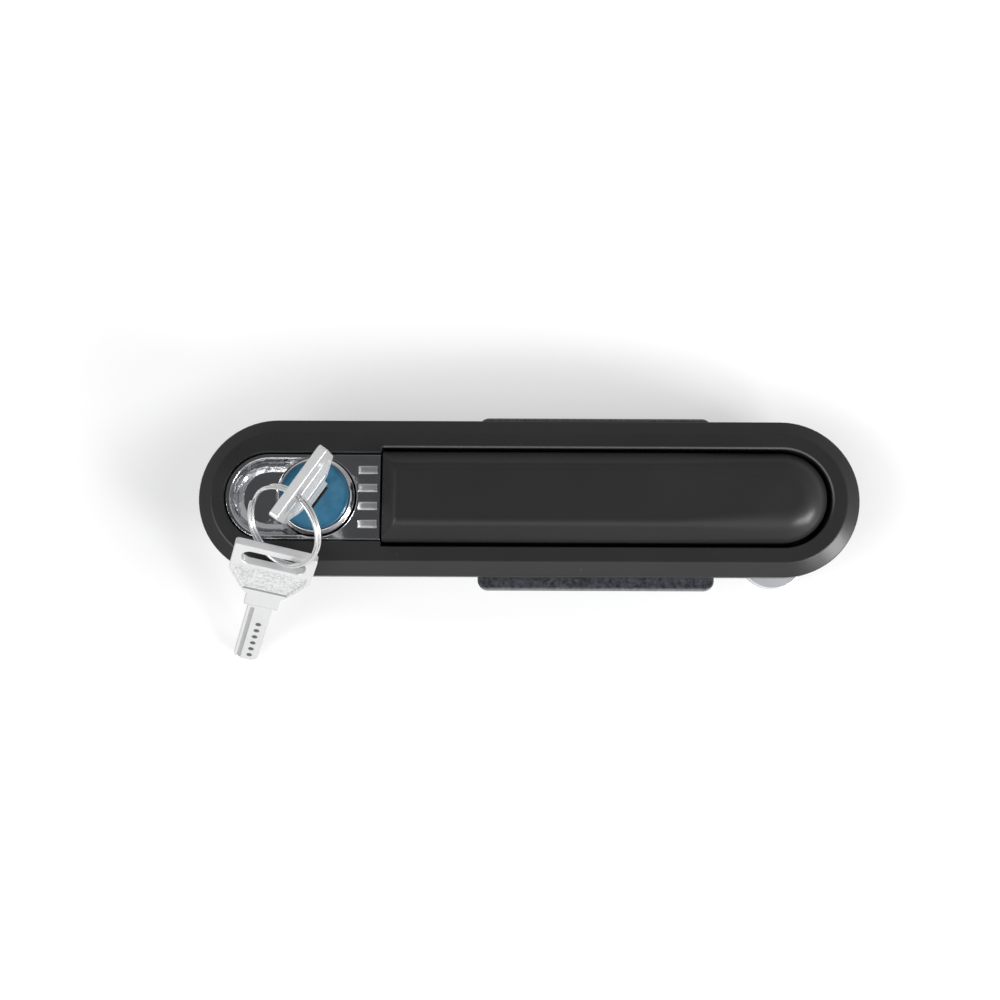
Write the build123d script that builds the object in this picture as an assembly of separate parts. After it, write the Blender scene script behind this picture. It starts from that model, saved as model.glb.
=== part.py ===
from build123d import *
import math
import os

# Swing handle lock for a sheet metal cabinet door, with its key set.
# Millimetres. The origin is on the door's front face, at the middle of the cut-out.
# +Z points out of the door, X runs along the lock: the key cylinder is at -X and the
# handle's spindle at +X. Everything below z = 0 is behind the door.

os.makedirs("parts", exist_ok=True)

# Housing
housing_length = 190.0
housing_width = 45.0
rim_height = 7.0
bevel_width = 4.0
bevel_drop = 2.5
body_width = 35.0
well_width = 28.4
well_floor_z = -5.0
well_floor_thickness = 2.5
pocket_floor_z = -9.0
pocket_floor_thickness = 3.4
case_depth = 24.0
case_end_inset = 11.9
case_cavity_radius = 13.7
plate_thickness = 1.5
door_sheet = 3.0
edge_break = 0.4

# Handle
handle_width = 26.2
handle_button_gap = 0.7
handle_top_z = 11.5
handle_bottom_z = -2.0
handle_wall = 2.9
chamfer_width = 4.8
chamfer_height = 5.0
dome_radius = 9.6
blend_length = 12.0
rib_thickness = 1.6
rib_height = 4.0
rib_count = 5
rib_end_gap = 6.0
end_chamfer_drop = 3.7
end_chamfer_length = 3.75
cheek_gap = 2.0
cheek_inset = 0.4
pin_wall = 1.0
inner_chamfer_loss = 1.2

# Hinge of the handle and spindle
pin_z = 1.0
pin_radius = 2.5
cheek_radius = 5.2
yoke_radius = 6.5
yoke_width = 12.0
spindle_flange_radius = 9.5
spindle_flange_top_z = -7.2
shaft_radius = 6.0
seat_radius = 5.0
stud_radius = 3.0
spindle_end_z = -23.8

# Crank behind the door
crank_thickness = 2.5
crank_width = 20.0
rod_pin_offset = 14.5
rod_pin_radius = 3.5
rod_pin_chamfer = 0.6
nut_across_flats = 10.0
nut_height = 4.0
nut_corner_radius = 5.6
spring_washer_gap = 0.3
spring_washer_split = 0.8
spring_washer_height = 1.5
spring_washer_radius = 5.2

# Push button
button_width = 24.8
button_length = 44.5
button_end_inset = 7.9
button_top_z = 6.0
button_skirt_z = -5.3
button_lip_height = 1.3
button_lip_width = 0.8
button_wall = 1.6
lip_inset = 2.4
button_web_z = 0.6
button_plate_z = 3.0
button_travel = 3.0
button_gap = 0.3
dish_radius = 11.0
dish_floor_radius = 7.4
dish_depth = 3.6
dish_wall_bow = 2.1
dish_wall_rise = 0.36
leg_inner_y = 11.2
leg_width = 1.8
leg_length = 4.4
button_notch_height = 1.5

# Key cylinder
cylinder_inset = 34.0
barrel_head_radius = 11.2
barrel_head_top_z = 9.0
barrel_head_bottom_z = 0.0
barrel_radius = 9.5
thread_radius = 8.9
barrel_head_chamfer = 1.0
barrel_end_z = -19.2
plug_radius = 6.5
cap_radius = 9.85
cap_top_z = 10.0
cap_thickness = 1.6
ring_nut_radius = 10.2
ring_nut_height = 2.6
cam_thickness = 1.4
cam_width = 6.0
cam_reach = 13.2
cam_hub_radius = 5.6
cam_square_length = 7.0
cam_square_width = 4.6
cam_screw_radius = 3.4
cam_screw_height = 1.2
driver_slot_width = 0.8
driver_slot_depth = 0.5
nut_notch_width = 3.0
nut_notch_depth = 1.2
locked_turn = 55.0

# Latch slider and its bridge
bridge_top_z = -13.6
bridge_thickness = 2.5
bridge_left_reach = 24.0
bridge_right_reach = 10.1
slider_height = 3.2
arm_inner_y = 9.9
arm_width = 3.3
arm_left_reach = 6.0
bar_reach = 12.9
bar_inset = 2.4
nose_gap = 1.2
nose_width = 8.0
tail_thickness = 2.5
tail_width = 8.0
tail_end_z = -20.7
ramp_reach = 2.5
notch_gap = 1.2

# Catch under the handle's left end
catch_toe_inset = 1.1
catch_toe_length = 2.6
catch_post_thickness = 2.9
catch_width = 8.0
catch_bottom_z = -16.4
catch_toe_height = 2.4
catch_slot_length = 8.3
catch_toe_chamfer = 1.0
catch_slot_gap = 1.0

# Springs
button_spring_inset = 10.1
button_spring_y = 5.5
button_spring_radius = 2.4
button_spring_wire = 0.7
slider_spring_radius = 1.2
slider_spring_wire = 0.5
wire_sides = 4
coil_turns = 4
coil_turn_steps = 16
spring_stop_reach = 14.0
spring_stop_thickness = 2.0
lift_spring_width = 9.0
lift_spring_thickness = 0.8
lift_spring_length = 38.0
lift_spring_reach = 28.5
lift_spring_rise = 8.0

# Clamp bracket
bracket_case_gap = 15.0
bracket_reach = 18.8
bracket_low_reach = 26.0
bracket_high_reach = 24.8
bracket_sheet = 2.0
bracket_side_gap = 0.8
bracket_web_z = -12.0
bracket_corner = 3.0
clamp_screw_inset = 20.0
clamp_screw_radius = 2.5
clamp_screw_length = 9.0
clamp_head_radius = 4.6
clamp_head_height = 3.2
clamp_washer_radius = 5.5
clamp_washer_height = 1.0
clamp_boss_radius = 5.0
clamp_hole_gap = 0.3
washer_hole_gap = 0.2
cross_slot_length = 4.4
cross_slot_width = 1.0
cross_slot_depth = 1.2
screw_head_chamfer = 1.0
tapped_floor = 0.8
cover_screw_radius = 1.5
cover_screw_head_radius = 2.8
cover_screw_length = 5.0
cover_hole_floor = 1.0
cover_hole_gap = 1.5
cover_screw_inset = 2.2
cover_screw_end_reach = 3.0
cover_lug_wall = 1.5
countersink_gap = 0.1

# Keys
blade_width = 7.2
blade_thickness = 2.3
blade_length = 27.5
neck_width = 9.8
neck_height = 6.5
head_width = 23.0
head_height = 19.5
head_foot_width = 13.0
head_side_height = 11.0
head_thickness = 2.6
head_border = 1.4
head_recess = 0.35
window_length = 18.0
window_height = 5.4
window_drop = 2.2
blade_groove_width = 1.1
blade_groove_depth = 0.5
groove_inset = 1.5
blade_tip_chamfer = 1.6
shoulder_drop = 0.2
neck_shoulder = 1.5
head_corner_radius = 1.0
panel_side_drop = 0.4
panel_foot_rise = 1.26
panel_side_rise = 0.3
keyway_gap = 0.12
keyway_depth_gap = 0.4
cap_keyway_gap = 0.65

# Key ring
ring_radius = 11.6
ring_wire = 1.25
ring_turn_pitch = 1.15
ring_break = 0.8
ring_sides = 6
key_turn_deg = 55.0
hang_side = -3.1
hang_drop = 3.6
hang_place_deg = 105.0
ring_heading_deg = -47.0
ring_slope_deg = 42.0
spare_place_deg = -65.0
spare_side = 1.4
spare_down = (-0.315, -0.531, -0.787)
spare_across = (0.948, -0.202, -0.245)

# Clearances
running_gap = 0.05
slide_gap = 0.3
moving_gap = 0.5

# Worked out from the sizes above
arc_x = (housing_length - housing_width) / 2
cylinder_x = -housing_length / 2 + cylinder_inset
button_left_x = -housing_length / 2 + button_end_inset
button_right_x = button_left_x + button_length
lip_right_x = button_right_x - lip_inset
handle_left_x = button_right_x + handle_button_gap
case_end_x = handle_left_x + case_end_inset
catch_toe_x = handle_left_x + catch_toe_inset
catch_post_left_x = catch_toe_x + catch_toe_length
nose_tip_x = catch_toe_x - nose_gap
catch_slot_end_x = button_right_x + button_gap + catch_slot_length
bridge_left_x = cylinder_x - bridge_left_reach
bridge_right_x = cylinder_x + bridge_right_reach
arm_left_x = cylinder_x - arm_left_reach
bar_left_x = cylinder_x + bar_reach
ramp_x = cylinder_x + ramp_reach
notch_right_x = ramp_x + leg_length + button_travel + notch_gap
button_spring_x = button_left_x + button_spring_inset
spring_stop_x = cylinder_x - spring_stop_reach
lift_spring_right_x = arc_x - lift_spring_reach
lift_spring_left_x = lift_spring_right_x - lift_spring_length
bracket_right_x = arc_x - bracket_reach
bracket_left_x = case_end_x + bracket_case_gap
clamp_screw_x = (bracket_left_x + clamp_screw_inset, bracket_right_x - clamp_screw_inset)
housing_radius = housing_width / 2
body_radius = body_width / 2
well_radius = well_width / 2
button_radius = button_width / 2
button_arc_x = button_left_x + button_radius
opening_radius = button_radius + button_gap
well_left_x = button_right_x + button_gap
handle_half = handle_width / 2
wall = body_radius - well_radius
tub_back_z = well_floor_z - well_floor_thickness
boss_back_z = pocket_floor_z - pocket_floor_thickness
plate_top_z = -case_depth + plate_thickness
slider_top_z = bridge_top_z + slide_gap + slider_height
bridge_bottom_z = bridge_top_z - bridge_thickness
cam_top_z = barrel_end_z - slide_gap
tail_left_x = cylinder_x + cam_reach + slide_gap
crank_top_z = bracket_web_z - bracket_sheet - slide_gap
crank_bottom_z = crank_top_z - crank_thickness
bracket_front_z = -door_sheet
face_z = cap_top_z
key_rise = neck_height + head_height


# ---------------------------------------------------------------- helpers

def upright(outline, z_low, z_high):
    """A flat outline in XY made solid from z_low to z_high."""
    return Pos(0, 0, z_low) * extrude(outline, z_high - z_low)


def stadium(x_a, x_b, radius):
    """Outline with two half-round ends, centred at x_a and x_b."""
    middle = Pos((x_a + x_b) / 2, 0) * Rectangle(x_b - x_a, 2 * radius)
    return middle + Pos(x_a, 0) * Circle(radius) + Pos(x_b, 0) * Circle(radius)


def round_left(x_round, x_square, radius):
    """Outline with a half-round end centred at x_round and a square end at x_square."""
    straight = Pos((x_round + x_square) / 2, 0) * Rectangle(abs(x_square - x_round), 2 * radius)
    return straight + Pos(x_round, 0) * Circle(radius)


def block(x_range, y_range, z_range):
    """Box between two values on each axis."""
    size = [b - a for a, b in (x_range, y_range, z_range)]
    middle = [(a + b) / 2 for a, b in (x_range, y_range, z_range)]
    return Pos(*middle) * Box(*size)


def post(x, y, radius, z_low, z_high):
    """Upright round solid."""
    return Pos(x, y, (z_low + z_high) / 2) * Cylinder(radius, z_high - z_low)


def cross_pin(x, z, radius, y_low, y_high):
    """Round solid lying along Y."""
    return Pos(x, (y_low + y_high) / 2, z) * Rot(90, 0, 0) * Cylinder(radius, y_high - y_low)


def hexagon(x, across_flats, z_low, z_high):
    """Upright hexagonal solid."""
    outline = Pos(x, 0) * RegularPolygon(across_flats / 2, 6, major_radius=False)
    return upright(outline, z_low, z_high)


def edge_profile(points_upper):
    """Symmetric section in YZ from the points of its right half, listed from below upwards."""
    left = [(-y, z) for y, z in reversed(points_upper)]
    return Plane.YZ * make_face(Polyline(*points_upper, *left, close=True))


def straight_bar(x_a, x_b, half_section):
    """Solid with the section carried along X."""
    return Pos(x_a, 0, 0) * extrude(edge_profile(half_section), x_b - x_a)


def round_end(x, half_section):
    """The same section turned round the upright axis at x."""
    turned = make_face(
        Polyline((0, half_section[0][1]), *half_section, (0, half_section[-1][1]), close=True)
    )
    return Pos(x, 0, 0) * revolve(Plane.XZ * turned, Axis.Z)


def coil(radius, wire, height):
    """Compression spring bent from straight lengths, standing on z = 0, wire included in its height."""
    steps = coil_turns * coil_turn_steps
    rise = (height - wire) / steps
    section = Plane.XZ * Pos(radius, wire / 2) * RegularPolygon(wire / 2, wire_sides)
    return loft([Pos(0, 0, n * rise) * Rot(0, 0, 360 * n / coil_turn_steps) * section
                 for n in range(steps + 1)], ruled=True)


# ---------------------------------------------------------------- housing

def housing():
    """Bezel, well for the handle, case for the latch, and what is cast on behind them."""
    edge = [
        (housing_radius - edge_break, 0),
        (housing_radius, edge_break),
        (housing_radius, rim_height - bevel_drop),
        (housing_radius - bevel_width, rim_height),
    ]
    bezel = straight_bar(-arc_x, arc_x, edge) + round_end(-arc_x, edge) + round_end(arc_x, edge)
    body = upright(stadium(-arc_x, arc_x, body_radius), tub_back_z, 0)
    body += upright(round_left(-arc_x, case_end_x, body_radius), plate_top_z, 0)
    body += post(arc_x, 0, body_radius, boss_back_z, tub_back_z)
    for x in clamp_screw_x:
        body += post(x, 0, clamp_boss_radius, bracket_web_z, tub_back_z)
    solid = bezel + body

    solid -= upright(round_left(arc_x, well_left_x, well_radius), well_floor_z, rim_height)
    solid -= post(arc_x, 0, well_radius, pocket_floor_z, well_floor_z)
    solid -= upright(round_left(button_arc_x, well_left_x, opening_radius), tub_back_z, rim_height)
    solid -= upright(round_left(button_arc_x, lip_right_x + moving_gap, case_cavity_radius),
                     plate_top_z, well_floor_z)
    solid -= upright(round_left(button_arc_x, case_end_x - wall, case_cavity_radius),
                     plate_top_z, tub_back_z)
    slot_half = catch_width / 2 + catch_slot_gap
    solid -= block((well_left_x, catch_slot_end_x), (-slot_half, slot_half), (tub_back_z, well_floor_z))
    solid -= post(arc_x, 0, shaft_radius + running_gap, boss_back_z, pocket_floor_z)
    for x in clamp_screw_x:
        solid -= post(x, 0, clamp_screw_radius, bracket_web_z, well_floor_z - tapped_floor)

    bridge = block((bridge_left_x, bridge_right_x), (-body_radius, body_radius),
                   (bridge_bottom_z, bridge_top_z))
    for side in (-1, 1):
        stop_y = sorted((side * arm_inner_y, side * body_radius))
        bridge += block((spring_stop_x - spring_stop_thickness, spring_stop_x), stop_y,
                        (bridge_top_z, slider_top_z))
    bridge &= upright(round_left(-arc_x, case_end_x, body_radius - wall / 2), plate_top_z, 0)
    bridge -= post(cylinder_x, 0, thread_radius + running_gap, bridge_bottom_z, bridge_top_z)
    solid += bridge

    for x, y in cover_screw_places():
        lug = post(x, y, cover_screw_radius + cover_lug_wall, plate_top_z,
                   plate_top_z + cover_screw_length)
        lug &= upright(round_left(-arc_x, case_end_x, body_radius - wall / 2), plate_top_z, 0)
        solid += lug
        solid -= post(x, y, cover_screw_radius, plate_top_z,
                      plate_top_z + cover_screw_length - cover_hole_floor)
    return solid


def cover_screw_places():
    """Two screws near the case's round end and two near its square end."""
    y = case_cavity_radius - cover_screw_inset
    ends = (-arc_x - cover_screw_end_reach, case_end_x - wall - cover_screw_inset)
    return [(x, side * y) for x in ends for side in (-1, 1)]


def case_back_plate():
    """Flat cover over the back of the latch case."""
    plate = upright(round_left(-arc_x, case_end_x, body_radius), -case_depth, plate_top_z)
    sink = Cone(cover_screw_head_radius + countersink_gap, cover_screw_radius, plate_thickness,
                align=(Align.CENTER, Align.CENTER, Align.MIN))
    for x, y in cover_screw_places():
        plate -= post(x, y, cover_screw_radius + running_gap, -case_depth, plate_top_z)
        plate -= Pos(x, y, -case_depth) * sink
    return plate


def cover_screws():
    """Countersunk screws, flush with the plate."""
    screws = []
    shank_radius = cover_screw_radius - running_gap
    head = Cone(cover_screw_head_radius, shank_radius, plate_thickness,
                align=(Align.CENTER, Align.CENTER, Align.MIN))
    for x, y in cover_screw_places():
        shank = post(x, y, shank_radius, plate_top_z - edge_break,
                     plate_top_z + cover_screw_length - cover_hole_gap)
        screws.append(Pos(x, y, -case_depth) * head + shank)
    return screws


# ---------------------------------------------------------------- handle

def round_corner(side):
    """Arc over one upper corner of the dome, from the outside inwards."""
    low_z = handle_top_z - dome_radius
    inner_y = handle_half - dome_radius
    diagonal = dome_radius * math.sqrt(0.5)
    return ThreePointArc((side * handle_half, low_z), (side * (inner_y + diagonal), low_z + diagonal),
                         (side * inner_y, handle_top_z))


def dome_face():
    """Section at the spindle's axis, where both upper corners are round."""
    left, right = round_corner(-1), round_corner(1)
    return Plane.YZ.offset(arc_x) * make_face([
        Line((-handle_half, handle_bottom_z), left @ 0), left, Line(left @ 1, right @ 1),
        right, Line(right @ 0, (handle_half, handle_bottom_z)),
        Line((handle_half, handle_bottom_z), (-handle_half, handle_bottom_z)),
    ])


def lever_form():
    """Long lever: chamfered sides that turn, over the blend length, into a domed round end."""
    side = [
        (handle_half, handle_bottom_z), (handle_half, handle_top_z - chamfer_height),
        (handle_half - chamfer_width, handle_top_z),
    ]
    blend_x = arc_x - blend_length
    straight = straight_bar(handle_left_x, blend_x, side)
    blend = loft([Pos(blend_x, 0, 0) * edge_profile(side), dome_face()], ruled=True)
    corner = round_corner(1)
    quarter = make_face([
        Line((0, handle_bottom_z), (handle_half, handle_bottom_z)),
        Line((handle_half, handle_bottom_z), corner @ 0), corner,
        Line(corner @ 1, (0, handle_top_z)), Line((0, handle_top_z), (0, handle_bottom_z)),
    ])
    return straight + blend + Pos(arc_x, 0, 0) * revolve(Plane.XZ * quarter, Axis.Z)


def lever_room():
    """Hollow of the lever, chamfered like its sides and turned round the spindle's axis."""
    half = handle_half - handle_wall
    top_z = handle_top_z - handle_wall
    side = [
        (half, handle_bottom_z), (half, top_z - chamfer_height + inner_chamfer_loss),
        (half - chamfer_width + inner_chamfer_loss, top_z),
    ]
    return straight_bar(handle_left_x + handle_wall, arc_x, side) + round_end(arc_x, side)


def handle():
    """Hollow lever with ribs, hinge cheeks at one end and a hooked catch at the other."""
    outer = lever_form()
    wedge = make_face(Polyline(
        (handle_left_x, handle_top_z - end_chamfer_drop), (handle_left_x, handle_top_z),
        (handle_left_x + end_chamfer_length, handle_top_z), close=True,
    ))
    outer -= extrude(Plane.XZ * wedge, handle_width, both=True)

    inner = lever_room()
    solid = outer - inner
    solid -= block((arc_x, arc_x + housing_width), (-housing_width, housing_width),
                   (handle_bottom_z, pin_z))

    rib_span = arc_x - yoke_radius - rib_end_gap - (handle_left_x + handle_wall)
    for n in range(1, rib_count + 1):
        rib_x = handle_left_x + handle_wall + n * rib_span / (rib_count + 1)
        rib = block((rib_x - rib_thickness / 2, rib_x + rib_thickness / 2), (-handle_half, handle_half),
                    (handle_top_z - handle_wall - rib_height, handle_top_z))
        solid += rib & inner

    cheek_inner = yoke_width / 2 + moving_gap + cheek_gap
    for side in (-1, 1):
        y_low, y_high = sorted((side * cheek_inner, side * (handle_half - cheek_inset)))
        cheek = cross_pin(arc_x, pin_z, cheek_radius, y_low, y_high)
        cheek += block((arc_x - cheek_radius, arc_x + cheek_radius), (y_low, y_high),
                       (pin_z, handle_top_z - handle_wall))
        solid += cheek & (inner + lower_cheek_room(y_low, y_high))
    solid -= cross_pin(arc_x, pin_z, pin_radius + running_gap,
                       -handle_half + pin_wall, handle_half - pin_wall)
    return solid + catch()


def lower_cheek_room(y_low, y_high):
    """Space below the lever's edge that the hinge cheeks may fill."""
    return block((arc_x - cheek_radius, arc_x + cheek_radius), (y_low, y_high),
                 (pin_z - cheek_radius, pin_z))


def catch():
    """Post under the handle's free end, with a toe that the latch nose holds down."""
    post_right_x = catch_post_left_x + catch_post_thickness
    outline = Polyline(
        (catch_post_left_x, handle_top_z - handle_wall),
        (catch_post_left_x, catch_bottom_z + catch_toe_height),
        (catch_toe_x, catch_bottom_z + catch_toe_height),
        (catch_toe_x, catch_bottom_z + catch_toe_chamfer),
        (catch_toe_x + catch_toe_chamfer, catch_bottom_z),
        (post_right_x, catch_bottom_z),
        (post_right_x, handle_top_z - handle_wall),
        close=True,
    )
    return extrude(Plane.XZ * make_face(outline), catch_width / 2, both=True)


def pivot_pin():
    """Hinge pin of the handle."""
    half_length = handle_half - pin_wall - slide_gap
    return cross_pin(arc_x, pin_z, pin_radius, -half_length, half_length)


def lift_spring():
    """Arched leaf spring on the well's floor that lifts the released handle."""
    half = (lift_spring_right_x - lift_spring_left_x) / 2
    middle = (lift_spring_right_x + lift_spring_left_x) / 2
    rise = lift_spring_rise
    lower = ThreePointArc((middle - half, well_floor_z), (middle, well_floor_z + rise),
                          (middle + half, well_floor_z))
    upper = ThreePointArc((middle + half, well_floor_z + lift_spring_thickness),
                          (middle, well_floor_z + rise + lift_spring_thickness),
                          (middle - half, well_floor_z + lift_spring_thickness))
    face = make_face([lower, Line(lower @ 1, upper @ 0), upper, Line(upper @ 1, lower @ 0)])
    return extrude(Plane.XZ * face, lift_spring_width / 2, both=True)


# ---------------------------------------------------------------- spindle and crank

def spindle():
    """Yoke in the well, round shaft through the housing and threaded stud."""
    head = cross_pin(arc_x, pin_z, yoke_radius, -yoke_width / 2, yoke_width / 2)
    head += block((arc_x - yoke_radius, arc_x + yoke_radius), (-yoke_width / 2, yoke_width / 2),
                  (spindle_flange_top_z, pin_z))
    head += post(arc_x, 0, spindle_flange_radius, pocket_floor_z, spindle_flange_top_z)
    head += post(arc_x, 0, shaft_radius, crank_top_z, pocket_floor_z)
    head += post(arc_x, 0, seat_radius, crank_bottom_z, crank_top_z)
    head += post(arc_x, 0, stud_radius, spindle_end_z, crank_bottom_z)
    return head - cross_pin(arc_x, pin_z, pin_radius + running_gap, -yoke_width, yoke_width)


def crank_plate():
    """Flat two-armed plate on the spindle that drives a rod up and a rod down."""
    outline = Rot(0, 0, 90) * SlotCenterToCenter(2 * rod_pin_offset, crank_width)
    plate = upright(Pos(arc_x, 0) * outline, crank_bottom_z, crank_top_z)
    plate -= post(arc_x, 0, seat_radius + running_gap, crank_bottom_z, crank_top_z)
    return plate


def rod_pins():
    """Two pins under the crank plate that carry the locking rods' eyes."""
    pins = []
    for side in (-1, 1):
        pin = post(arc_x, side * rod_pin_offset, rod_pin_radius, -case_depth, crank_bottom_z)
        pins.append(chamfer(pin.edges().group_by(Axis.Z)[0], rod_pin_chamfer))
    return pins


def spring_washer():
    """Split washer between the crank plate and its nut."""
    washer = post(arc_x, 0, spring_washer_radius, crank_bottom_z - spring_washer_height, crank_bottom_z)
    washer -= post(arc_x, 0, stud_radius + spring_washer_gap, crank_bottom_z - spring_washer_height,
                   crank_bottom_z)
    cut = Pos(arc_x + spring_washer_radius, 0, crank_bottom_z - spring_washer_height / 2) \
        * Rot(25, 0, 0) * Box(2 * (spring_washer_radius - stud_radius), spring_washer_split,
                              3 * spring_washer_height)
    return washer - cut


def crank_nut():
    """Hexagon nut on the spindle's stud."""
    top_z = crank_bottom_z - spring_washer_height
    nut = hexagon(arc_x, nut_across_flats, top_z - nut_height, top_z)
    nut &= Pos(arc_x, 0, top_z - nut_height / 2) * Cylinder(nut_corner_radius, nut_height)
    return nut - post(arc_x, 0, stud_radius + running_gap, top_z - nut_height, top_z)


# ---------------------------------------------------------------- push button and latch

def push_button():
    """Hollow button with a dished finger rest, a hole for the cylinder and two wedge legs."""
    solid = upright(round_left(button_arc_x, button_right_x, button_radius), button_skirt_z, button_top_z)
    lip = upright(round_left(button_arc_x, lip_right_x, button_radius + button_lip_width),
                  button_skirt_z - button_lip_height, button_skirt_z)
    solid += lip
    inner_radius = button_radius - button_wall
    bottom_z = button_skirt_z - button_lip_height
    solid -= upright(round_left(button_arc_x, cylinder_x, inner_radius), bottom_z, button_web_z)
    solid -= upright(Pos((cylinder_x + button_right_x - button_wall) / 2, 0)
                     * Rectangle(button_right_x - button_wall - cylinder_x, 2 * inner_radius),
                     bottom_z, button_plate_z)
    solid -= finger_dish()
    solid -= post(cylinder_x, 0, barrel_head_radius + button_gap, bottom_z, button_top_z)
    solid -= block((button_right_x - 2 * button_wall, button_right_x + 1), (-inner_radius, inner_radius),
                   (bottom_z, button_skirt_z + button_notch_height))
    for side in (-1, 1):
        solid += wedge_leg(side)
    return solid


def finger_dish():
    """Dished recess with a hollow curved wall down to a flat floor."""
    top_z = button_top_z
    floor_z = button_top_z - dish_depth
    wall_middle = (dish_floor_radius + dish_wall_bow, floor_z + dish_depth * dish_wall_rise)
    lines = [
        Line((0, floor_z), (dish_floor_radius, floor_z)),
        ThreePointArc((dish_floor_radius, floor_z), wall_middle, (dish_radius, top_z)),
        Line((dish_radius, top_z), (0, top_z)), Line((0, top_z), (0, floor_z)),
    ]
    half = make_face(lines)
    end = revolve(Plane.XZ * half, Axis.Z)
    run = cylinder_x - button_arc_x
    side = extrude(Plane.YZ * half, run) + extrude(Plane.YZ * mirror(half, Plane.YZ), run)
    return Pos(button_arc_x, 0, 0) * (end + side)


def wedge_leg(side):
    """Leg below the skirt whose 45 degree foot drives the latch slider back."""
    foot_z = slider_top_z
    wedge = slider_height - slide_gap
    outline = Polyline(
        (ramp_x, button_skirt_z), (ramp_x, foot_z + wedge), (ramp_x + wedge, foot_z),
        (ramp_x + leg_length, foot_z), (ramp_x + leg_length, button_skirt_z), close=True,
    )
    leg = extrude(Plane.XZ * make_face(outline), leg_width / 2, both=True)
    return Pos(0, side * (leg_inner_y + leg_width / 2), 0) * leg


def latch_slider():
    """Fork that straddles the cylinder, with ramps for the button's legs, a nose and a tail."""
    low_z = bridge_top_z + slide_gap
    strip_y = leg_inner_y - slide_gap
    fork = block((bar_left_x, nose_tip_x - bar_inset), (-arm_inner_y - arm_width, arm_inner_y + arm_width),
                 (low_z, slider_top_z))
    for side in (-1, 1):
        y_range = sorted((side * arm_inner_y, side * (arm_inner_y + arm_width)))
        fork += block((arm_left_x, bar_left_x), y_range, (low_z, slider_top_z))
    fork += block((bar_left_x, nose_tip_x), (-nose_width / 2, nose_width / 2), (low_z, slider_top_z))
    fork += block((tail_left_x, tail_left_x + tail_thickness), (-tail_width / 2, tail_width / 2),
                  (tail_end_z, low_z))
    ramp_top_x = ramp_x + slider_height - 2 * slide_gap
    notch = extrude(Plane.XZ * make_face(Polyline(
        (ramp_top_x, slider_top_z), (ramp_top_x + slider_height, low_z),
        (notch_right_x, low_z), (notch_right_x, slider_top_z), close=True,
    )), housing_width, both=True)
    return fork - (notch - block((arm_left_x, bar_left_x), (-strip_y, strip_y), (low_z, slider_top_z)))


def button_springs():
    """Pair of springs between the bridge and the underside of the button."""
    height = button_web_z - bridge_top_z
    return [Pos(button_spring_x, side * button_spring_y, bridge_top_z)
            * coil(button_spring_radius, button_spring_wire, height)
            for side in (-1, 1)]


def slider_springs():
    """Pair of small springs that push the slider's arms towards the handle."""
    height = arm_left_x - spring_stop_x
    middle_z = (bridge_top_z + slide_gap + slider_top_z) / 2
    return [Pos(spring_stop_x, side * (arm_inner_y + arm_width / 2), middle_z) * Rot(0, 90, 0)
            * coil(slider_spring_radius, slider_spring_wire, height)
            for side in (-1, 1)]


# ---------------------------------------------------------------- key cylinder

def cylinder_barrel():
    """Fixed barrel: bright head ring, plain body and threaded end."""
    outline = Polyline(
        (plug_radius + running_gap, barrel_end_z), (thread_radius, barrel_end_z),
        (thread_radius, bridge_top_z), (barrel_radius, bridge_top_z),
        (barrel_radius, barrel_head_bottom_z), (barrel_head_radius, barrel_head_bottom_z),
        (barrel_head_radius, barrel_head_top_z - barrel_head_chamfer),
        (barrel_head_radius - barrel_head_chamfer, barrel_head_top_z),
        (cap_radius + running_gap, barrel_head_top_z),
        (cap_radius + running_gap, cap_top_z - cap_thickness - slide_gap),
        (plug_radius + running_gap, cap_top_z - cap_thickness - slide_gap), close=True,
    )
    return Pos(cylinder_x, 0, 0) * revolve(Plane.XZ * make_face(outline), Axis.Z)


def ring_nut():
    """Notched ring nut that holds the barrel on the bridge."""
    nut = post(cylinder_x, 0, ring_nut_radius, bridge_bottom_z - ring_nut_height, bridge_bottom_z)
    nut -= post(cylinder_x, 0, thread_radius + running_gap, bridge_bottom_z - ring_nut_height,
                bridge_bottom_z)
    for turn in range(4):
        notch = Rot(0, 0, 45 + 90 * turn) * Pos(ring_nut_radius, 0, 0) \
            * Box(2 * nut_notch_depth, nut_notch_width, 4 * ring_nut_height)
        nut -= Pos(cylinder_x, 0, bridge_bottom_z) * notch
    return nut


def keyway(z_low, z_high, side_gap):
    """Slot for the key's blade, turned to the key's heading."""
    slot = Rot(0, 0, key_turn_deg) * Rectangle(blade_width + 2 * keyway_gap, blade_thickness + 2 * side_gap)
    return upright(Pos(cylinder_x, 0) * slot, z_low, z_high)


def cylinder_plug():
    """Turning plug with the keyway and a flatted end for the cam."""
    top_z = cap_top_z - cap_thickness
    plug = post(cylinder_x, 0, plug_radius, barrel_end_z - slide_gap, top_z)
    end = Rot(0, 0, key_turn_deg) * Rectangle(cam_square_length, cam_square_width)
    plug += upright(Pos(cylinder_x, 0) * end, cam_top_z - cam_thickness, cam_top_z)
    return plug - keyway(face_z - blade_length - keyway_depth_gap, top_z, keyway_gap)


def plug_face_cap():
    """Coloured disc on the front of the plug."""
    cap = post(cylinder_x, 0, cap_radius, cap_top_z - cap_thickness, cap_top_z)
    cap = chamfer(cap.edges().group_by(Axis.Z)[-1], edge_break)
    return cap - keyway(cap_top_z - cap_thickness, cap_top_z, cap_keyway_gap)


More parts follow.
